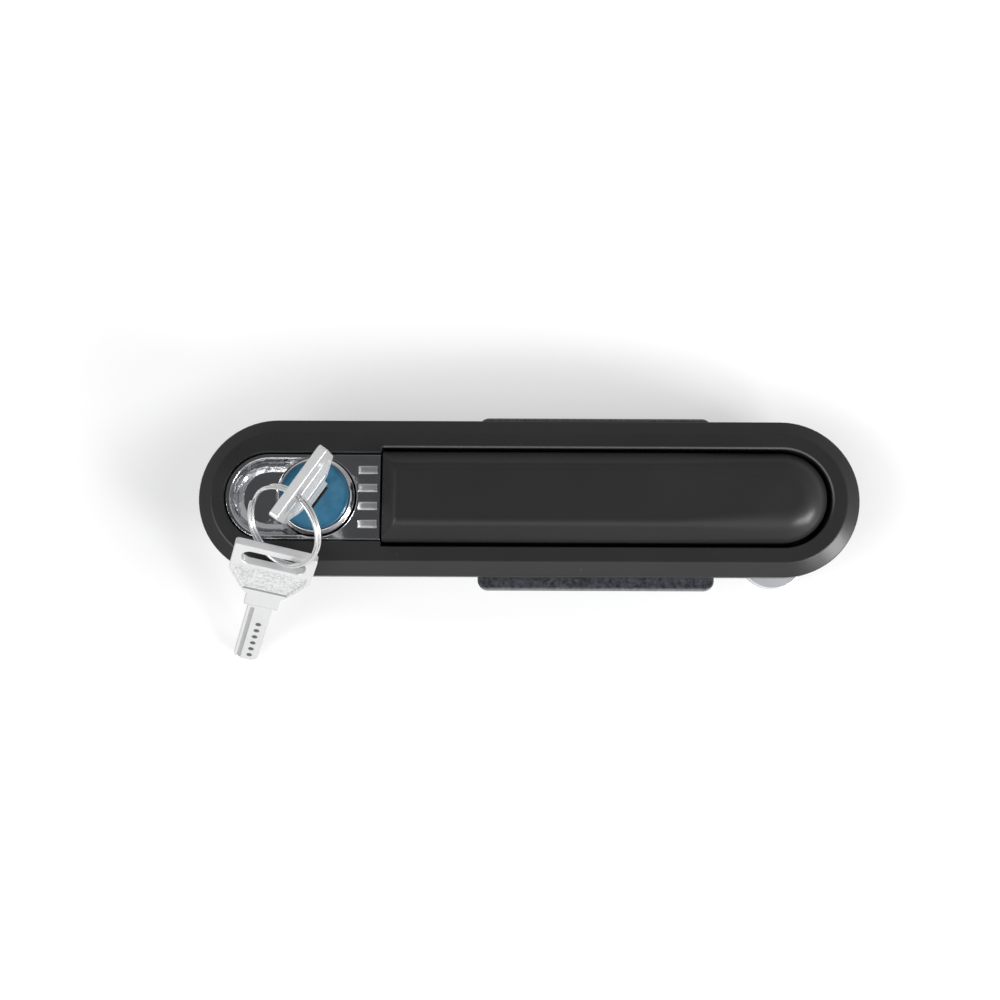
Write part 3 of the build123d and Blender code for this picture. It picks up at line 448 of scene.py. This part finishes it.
def linked(name, data):
    """New object for a mesh, lamp or camera, in the scene."""
    made = bpy.data.objects.new(name, data)
    scene.collection.objects.link(made)
    return made


def dress(mesh, material, degrees):
    """One material, and smooth shading with edges above that angle kept sharp."""
    mesh.materials.clear()
    mesh.materials.append(material)
    mesh.shade_smooth()
    mesh.set_sharp_from_angle(angle=math.radians(degrees))


def welded(mesh):
    """A bmesh of a CAD mesh with its triangles merged and its flat areas joined."""
    work = bmesh.new()
    work.from_mesh(mesh)
    bmesh.ops.remove_doubles(work, verts=work.verts, dist=WELD)
    bmesh.ops.dissolve_limit(work, angle_limit=FLAT, verts=work.verts, edges=work.edges)
    return work


def finish_piece(name, mesh, material, body):
    """Object for a finished mesh: material, smooth shading, normals outwards, and its body."""
    work = bmesh.new()
    work.from_mesh(mesh)
    bmesh.ops.remove_doubles(work, verts=work.verts, dist=1e-7)
    bmesh.ops.recalc_face_normals(work, faces=work.faces)
    work.to_mesh(mesh)
    work.free()
    dress(mesh, material, 32)
    piece = linked(name, mesh)
    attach(piece, body)
    return piece


def mesh_of(name, points, faces):
    """Mesh from arrays of points and faces."""
    mesh = bpy.data.meshes.new(name)
    mesh.from_pydata(np.asarray(points, dtype=float).reshape(-1, 3), [], faces)
    mesh.update()
    return mesh


def wire(line, inward, half_wide, half_thick, sides):
    """Tube of an oval section along an open line of points.

    The section at each point is point + inward * thick * cos(a) + across * wide * sin(a), with
    across the cross product of the line's direction and inward; both ends are closed by a fan.
    """
    along = np.gradient(line, axis=0)
    along /= np.linalg.norm(along, axis=1, keepdims=True)
    across = np.cross(along, inward)
    across /= np.linalg.norm(across, axis=1, keepdims=True)
    a = np.linspace(0, 2 * math.pi, sides, endpoint=False)
    skin = (line[:, None] + inward[:, None] * (half_thick * np.cos(a))[None, :, None]
            + across[:, None] * (half_wide * np.sin(a))[None, :, None])
    faces = grid_faces(len(line), sides, wrapped=True).tolist()
    faces.append(list(range(sides)))
    faces.append(list(range((len(line) - 1) * sides, len(line) * sides)))
    return skin, faces


def rounded_node(name, width, material, body, segments=3):
    """A merged copy of a CAD node with its sharp edges rounded."""
    mesh = nodes[name].data.copy()
    mesh.name = name + "_shell"
    work = welded(mesh)
    work.to_mesh(mesh)
    work.free()
    dress(mesh, material, 40)
    piece = linked(name + "_shell", mesh)
    edge = piece.modifiers.new("edges", "BEVEL")
    edge.width = width
    edge.segments = segments
    edge.limit_method = "ANGLE"
    edge.angle_limit = math.radians(28.0)
    edge.use_clamp_overlap = False
    shade = piece.modifiers.new("normals", "WEIGHTED_NORMAL")
    shade.keep_sharp = True
    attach(piece, body)
    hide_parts(name)


def paint(name, material):
    """Gives a kept CAD node its finish."""
    data = nodes[name].data
    data.materials.clear()
    data.materials.append(material)


def rounded_section(travel, centre_d, centre_z, radius, angle):
    """Points centre + radius * (cos(angle), sin(angle)), each of the four linear between the stops.

    Where the centre stays and the angle moves it is an arc. Where the angle stays it is straight.
    """
    stops = (0.0, 0.20, 0.32, 0.50, 0.78, 1.0)
    d, z, r, a = (np.interp(travel, stops, values)
                  for values in (centre_d, centre_z, radius, angle))
    return np.stack([d + r * np.cos(a), z + r * np.sin(a)], axis=-1)


def chamfer_section(travel, crest_cut):
    """Wall, small arc, chamfer, arc that takes crest_cut off each side of the ridge, flat top."""
    slant, upright = math.atan2(CHAMFER_WIDE, CHAMFER_HIGH), math.pi / 2
    foot_radius = FOOT_CUT / math.tan(slant / 2)
    crest_radius = crest_cut / math.tan((upright - slant) / 2)
    foot_d, foot_z = LEVER_HALF - foot_radius, LEVER_TOP - CHAMFER_HIGH - FOOT_CUT
    crest_d, crest_z = LEVER_HALF - CHAMFER_WIDE - crest_cut, LEVER_TOP - crest_radius
    return rounded_section(
        travel, (foot_d, foot_d, foot_d, crest_d, crest_d, 0.0),
        (LEVER_LOW, foot_z, foot_z, crest_z, crest_z, crest_z),
        (foot_radius, foot_radius, foot_radius, crest_radius, crest_radius, crest_radius),
        (0.0, 0.0, slant, slant, upright, upright))


def lever_profile(travel, blend):
    """Half section of the lever, from its lower edge (travel 0) over the corner to the middle line.

    Returns the distance from the middle line and the height. Blend (0 to 1) moves each point in a
    straight line from the crisp chamfered section to the end's own, a mean of a softly chamfered
    one and a quarter round.
    """
    edge, upright = LEVER_HALF - DOME_ROUND, math.pi / 2
    level = LEVER_TOP - DOME_ROUND
    quarter = rounded_section(
        travel, (edge, edge, edge, edge, edge, 0.0), (LEVER_LOW, *[level] * 5),
        [DOME_ROUND] * 6, (0.0, 0.0, upright * 0.38, upright * 0.56, upright, upright))
    dome = chamfer_section(travel, END_CREST_CUT) * (1.0 - DOME_SHARE) + quarter * DOME_SHARE
    return chamfer_section(travel, SIDE_CREST_CUT) * (1.0 - blend) + dome * blend


def end_slope(x):
    """Height of the free end's chamfer at x."""
    return LEVER_TOP - END_DROP + (x - LEVER_LEFT) * END_DROP / END_LONG


def smooth_step(share):
    """0 to 1, level at both ends."""
    return share * share * (3.0 - 2.0 * share)


def lever_skin():
    """Outer face of the lever as one grid of points: rows along its edge, columns up the section.

    A row's place runs along one straight side, round the spindle's axis by half a turn, and back
    along the other side. Its section is lever_profile, blended from chamfer to dome over the last
    millimetres of each side; the free end's chamfer takes the height down to a slope, with a soft
    edge: minus the log of the sum of exp(-height) over both heights.
    """
    blend_start, quarter = LEVER_ARC - BLEND_LONG, math.pi / 2
    along = np.concatenate([
        np.linspace(LEVER_LEFT, LEVER_LEFT + END_REACH, END_ROWS, endpoint=False),
        np.linspace(LEVER_LEFT + END_REACH, blend_start, MIDDLE_ROWS, endpoint=False),
        np.linspace(blend_start, LEVER_ARC, BLEND_ROWS, endpoint=False)])
    x0 = np.concatenate([along, np.full(ARC_ROWS, LEVER_ARC), along[::-1]])
    angle = np.concatenate([np.full(len(along), -quarter), np.linspace(-quarter, quarter, ARC_ROWS),
                            np.full(len(along), quarter)])
    blend = smooth_step(np.clip((x0 - blend_start) / BLEND_LONG, 0.0, 1.0))
    travel = np.linspace(0.0, 1.0, COLUMNS)
    section = lever_profile(travel[None, :], blend[:, None, None])
    out, height = section[..., 0], section[..., 1]
    x = x0[:, None] + out * np.cos(angle)[:, None]
    y = out * np.sin(angle)[:, None]
    slope = end_slope(x)
    lower = LEVER_TOP - END_SOFT * np.log(
        np.exp(-(height - LEVER_TOP) / END_SOFT) + np.exp(-(slope - LEVER_TOP) / END_SOFT))
    height = np.where(slope < LEVER_TOP + 2 * MM, lower, height)
    round_part = (x0 >= LEVER_ARC - 1e-9)[:, None]
    height = np.where(round_part, np.maximum(height, PIN_LEVEL), height)
    lean = LEVER_LEAN * (height - LEVER_LOW) / (LEVER_TOP - LEVER_LOW)
    return np.stack([x, y + lean, height], axis=-1)


def lever_piece(material):
    """The lever: its outer skin as a grid, with the CAD node's inside, ribs, cheeks and catch."""
    skin = lever_skin()
    rows, columns = skin.shape[:2]
    faces = grid_faces(rows, columns)
    end = np.concatenate([np.arange(columns), (rows - 1) * columns + np.arange(columns)[::-1]])
    shell = mesh_of("lever_shell", skin, faces.tolist() + [end.tolist()])
    cad = nodes["handle"].data
    points, corners = np.empty(len(cad.vertices) * 3), np.empty(len(cad.loops), dtype=np.int32)
    cad.vertices.foreach_get("co", points)
    cad.loops.foreach_get("vertex_index", corners)
    points, corners = points.reshape(-1, 3), corners.reshape(-1, 3)
    inside = corners[~outside_lever(points)[corners].all(axis=1)]
    used, inside = np.unique(inside, return_inverse=True)
    work = welded(mesh_of("lever_inside", points[used], inside.reshape(-1, 3).tolist()))
    work.from_mesh(shell)
    work.to_mesh(shell)
    work.free()
    dress(shell, material, 38)
    piece = linked("lever_shell", shell)
    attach(piece, "lever")
    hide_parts("handle")


def outside_lever(points):
    """Which points of the CAD lever lie on its outer face, as a mask."""
    x, y, z = points.T
    out = np.hypot(np.maximum(0.0, x - LEVER_ARC), y)
    fall = np.clip(out - LEVER_HALF + DOME_ROUND, 0.0, DOME_ROUND)
    rounded = LEVER_TOP - DOME_ROUND + np.sqrt(DOME_ROUND ** 2 - fall ** 2)
    chamfer = LEVER_TOP - CHAMFER_HIGH * np.clip(1.0 - (LEVER_HALF - out) / CHAMFER_WIDE, 0.0, None)
    skin = z > np.minimum(np.minimum(end_slope(x), rounded), chamfer) - 4 * SKIN_NEAR
    edge = ((x < LEVER_LEFT + SKIN_NEAR) | (out > LEVER_HALF - SKIN_NEAR)
            | (z > LEVER_TOP - SKIN_NEAR))
    return (z >= LEVER_LOW - SKIN_NEAR) & (out <= LEVER_HALF + SKIN_NEAR) & (edge | skin)


def split_ring(material):
    """Split ring: a wire of two turns side by side that crosses from one to the other.

    Its line is centre + radius * (level * cos(a) + up * sin(a)) + axis * offset, with a from just
    past the first break round to just short of the second, and offset a smooth step from plus to
    minus half the pitch while the wire passes between its own two ends.
    """
    level = np.array([math.cos(RING_HEADING), math.sin(RING_HEADING), 0.0])
    across = np.array([-level[1], level[0], 0.0])
    up = across * math.cos(RING_SLOPE) + np.array([0.0, 0.0, math.sin(RING_SLOPE)])
    axis = np.cross(level, up)
    degrees = np.linspace(RING_START, RING_STOP, 260)
    a = np.radians(degrees)
    step = np.clip((degrees - RING_CROSS) / RING_CROSS_LONG, 0.0, 1.0)
    offset = RING_PITCH * (0.5 - smooth_step(step))
    spoke = np.cos(a)[:, None] * level + np.sin(a)[:, None] * up
    line = np.array(RING_CENTRE) + spoke * RING_RADIUS + offset[:, None] * axis
    points, faces = wire(line, spoke, RING_WIRE / 2 * 0.96, RING_WIRE / 2 * 0.94, 14)
    mesh = mesh_of("split_ring", points, faces)
    piece = finish_piece("split_ring", mesh, material, "ring")
    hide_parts("key_ring")


def grip_bars(material):
    """Four raised bars on the flat of the button: low pillows, height sqrt((1 - u^6)(1 - v^6))."""
    along, across, bars = 19, 11, 4
    row, u, v = np.meshgrid(np.arange(bars), np.linspace(-1, 1, along), np.linspace(-1, 1, across),
                            indexing="ij")
    pillow = np.sqrt(np.clip((1 - u ** 6) * (1 - v ** 6), 0.0, 1.0))
    x = BAR_MIDDLE + u * BAR_LONG / 2
    y = (row - (bars - 1) / 2) * BAR_PITCH + v * BAR_WIDE / 2
    points = np.stack([x, y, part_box("push_button")[1][2] - BAR_SUNK + pillow * BAR_HIGH], axis=-1)
    faces = (np.arange(bars) * along * across)[:, None, None] + grid_faces(along, across)[None]
    finish_piece("grip_bars", mesh_of("grip_bars", points, faces.reshape(-1, 4).tolist()),
                 material, "button")


# ---------------------------------------------------------------- keys' frames

inserted_frame = Matrix.Translation((CAP.x, 0.0, KEY_SHOULDER)) @ Matrix.Rotation(KEY_TURN, 4, "Z")


def spare_frame():
    """Frame of the key that hangs from the ring, from its hanging place and its two directions."""
    down = Vector((-0.315, -0.531, -0.787)).normalized()
    across = Vector((0.948, -0.202, -0.245))
    across = (across - down * across.dot(down)).normalized()
    place = Vector((-69.191, -19.328, 15.668)) * MM + down * 21.1 * MM - across * 1.4 * MM
    turn = Matrix((across, across.cross(down), -down)).transposed().to_4x4()
    return Matrix.Translation(place) @ turn


# ---------------------------------------------------------------- stage, camera and light

def stage():
    """White floor that keeps the cast shadows, with a painted shadow too: less glow in an oval
    round the part, more at its ends; white far out.
    """
    level, size = cad_box[0][2] - 0.02 * MM, 6.0
    corners = [(-size, -size, level), (size, -size, level),
               (size, size, level), (-size, size, level)]
    floor = linked("floor", mesh_of("floor", corners, [(0, 1, 2, 3)]))
    material, tree, place = new_material("pale_table")
    camera_ray = node(tree, "ShaderNodeLightPath", None, None, "Is Camera Ray")
    glossy_ray = node(tree, "ShaderNodeLightPath", None, None, "Is Glossy Ray")
    seen = camera_ray + glossy_ray * 0.4
    x, y, _ = parts_of(tree, stretched(tree, place, shift=(0.008, -0.004, 0.0)))
    # Painted shadow: the glow the camera sees drops in an oval round the part, more towards its
    # ends.
    shadow_long, shadow_wide = 0.137, 0.050
    away = distance(x / shadow_long, y / shadow_wide)
    far = distance(x, y).ramp(0.14, 0.50)
    ends = abs(x).ramp(0.062, 0.105) * 0.10
    grey = (1.0 - away.ramp(0.72, 1.06)) * (0.075 + ends)
    matt = node(tree, "ShaderNodeBsdfDiffuse", None, {"Color": (0.50, 0.50, 0.50, 1.0)})
    glow = node(tree, "ShaderNodeEmission", None,
                {"Color": (1.0, 1.0, 1.0, 1.0), "Strength": seen * (0.565 + far * 0.50 - grey)})
    both = node(tree, "ShaderNodeAddShader", None, {0: matt, 1: glow})
    node(tree, "ShaderNodeOutputMaterial", None, {"Surface": both})
    floor.data.materials.append(material)


def soft_world():
    """Pale room: dark overhead, bright band high in front, bright right wall, dim front foot."""
    world = bpy.data.worlds.new("room")
    scene.world = world
    world.use_nodes = True
    tree = world.node_tree
    tree.nodes.clear()
    x, y, z = parts_of(tree, node(tree, "ShaderNodeTexCoord", None, None, "Generated"))
    overhead = z.ramp(0.78, 0.93)
    front = (z * 0.75 - x * 0.15 - y * 0.64).ramp(0.80, 0.99)
    right = (x * 0.92 - y * 0.38 + z * 0.10).ramp(0.55, 0.95)
    foot = (y * -0.95 - z * 0.9).ramp(0.45, 0.95)
    level = (0.46 + front * 1.25 + right * 0.35 - foot * 0.22) * (1.0 - overhead * 0.82)
    seen = node(tree, "ShaderNodeLightPath", None, None, "Is Camera Ray")
    strength = level * (1.0 - seen) + seen
    glow = node(tree, "ShaderNodeBackground", None,
                {"Color": (0.985, 0.99, 1.0, 1.0), "Strength": strength})
    node(tree, "ShaderNodeOutputWorld", None, {"Surface": glow})


def softbox(name, direction, far, size, watts):
    """Square area light that faces the middle of the part."""
    light = bpy.data.lights.new(name, "AREA")
    light.shape = "SQUARE"
    light.size = size
    light.energy = watts
    place = Vector(direction).normalized() * far
    turn = place.to_track_quat("Z", "Y").to_matrix().to_4x4()
    linked(name, light).matrix_world = Matrix.Translation(place) @ turn


def camera():
    """Camera above the lock, tipped a little towards its lower side."""
    tilt, roll = math.radians(7.5), math.radians(0.23)
    away, seen_width, aside = 398.4 * MM, 288.35 * MM, -11.95 * MM
    target = Vector((3.5, -0.3, 3.0)) * MM
    back = Vector((0.0, -math.sin(tilt), math.cos(tilt)))
    up = Vector((0.0, math.cos(tilt), math.sin(tilt)))
    right = up.cross(back)
    right, up = (math.cos(roll) * right + math.sin(roll) * up,
                 -math.sin(roll) * right + math.cos(roll) * up)
    data = bpy.data.cameras.new("camera")
    data.sensor_width = 36.0
    data.lens = data.sensor_width * away / seen_width
    data.shift_x = aside / seen_width
    data.clip_start = 0.01
    turn = Matrix((right, up, back)).transposed().to_4x4()
    scene.camera = linked("camera", data)
    scene.camera.matrix_world = Matrix.Translation(target + back * away) @ turn


stage()
soft_world()
softbox("window", (0.846, -0.420, 0.330), 0.706, 0.20, 2.6)
softbox("strip", (0.622, -0.553, 0.551), 0.76, 0.15, 1.7)
softbox("side", (-0.62, -0.25, 0.74), 0.80, 0.40, 2.2)
camera()


# ---------------------------------------------------------------- the lock's pieces

black_housing = satin_black("black_coat_housing", well_highlight=0.75)
black_lever = satin_black("black_coat_lever", 0.0250, 0.31, 0.27)
chrome_button = chrome_plate("chrome_button", (0.72, 0.73, 0.75), 0.07, 0.04, 0.16, 0.7)
chrome_ring = chrome_plate("chrome_cylinder", (0.66, 0.65, 0.66), 0.10, 0.02)
zinc_grey = galvanised("zinc_plate_clamp")
zinc_bright = bright_zinc("zinc_bright")
steel = spring_steel("spring_steel_wire")
brass = machined_brass("brass_turned")

rounded_node("housing", 0.35 * MM, black_housing, "lock_body")
lever_piece(black_lever)
rounded_node("push_button", 0.35 * MM, chrome_button, "button")
rounded_node("cylinder_barrel", 0.2 * MM, chrome_ring, "lock_body")
rounded_node("clamp_bracket", 0.4 * MM, zinc_grey, "lock_body")
rounded_node("crank_plate", 0.35 * MM, zinc_bright, "crank")

paint("plug_face_cap", blue_enamel("blue_enamel_cap"))
paint("case_back_plate", zinc_grey)
for name in ("cover_screws", "clamp_washers", "clamp_screws", "spindle", "pivot_pin", "rod_pins",
             "crank_nut", "latch_slider", "cylinder_cam", "cam_screw"):
    paint(name, zinc_bright)
for name in ("lift_spring", "spring_washer", "button_springs", "slider_springs"):
    paint(name, steel)
for name in ("ring_nut", "cylinder_plug"):
    paint(name, brass)
nickel_inserted = nickel_key("nickel_inserted_key", inserted_frame)
nickel_spare = nickel_key("nickel_spare_key", spare_frame())
rounded_node("key", 0.22 * MM, nickel_inserted, "inserted_key", 2)
rounded_node("spare_key", 0.22 * MM, nickel_spare, "second_key", 2)
split_ring(nickel_wire("nickel_ring"))
grip_bars(chrome_plate("chrome_grip_bars", (0.93, 0.93, 0.94), 0.30, 0.06))
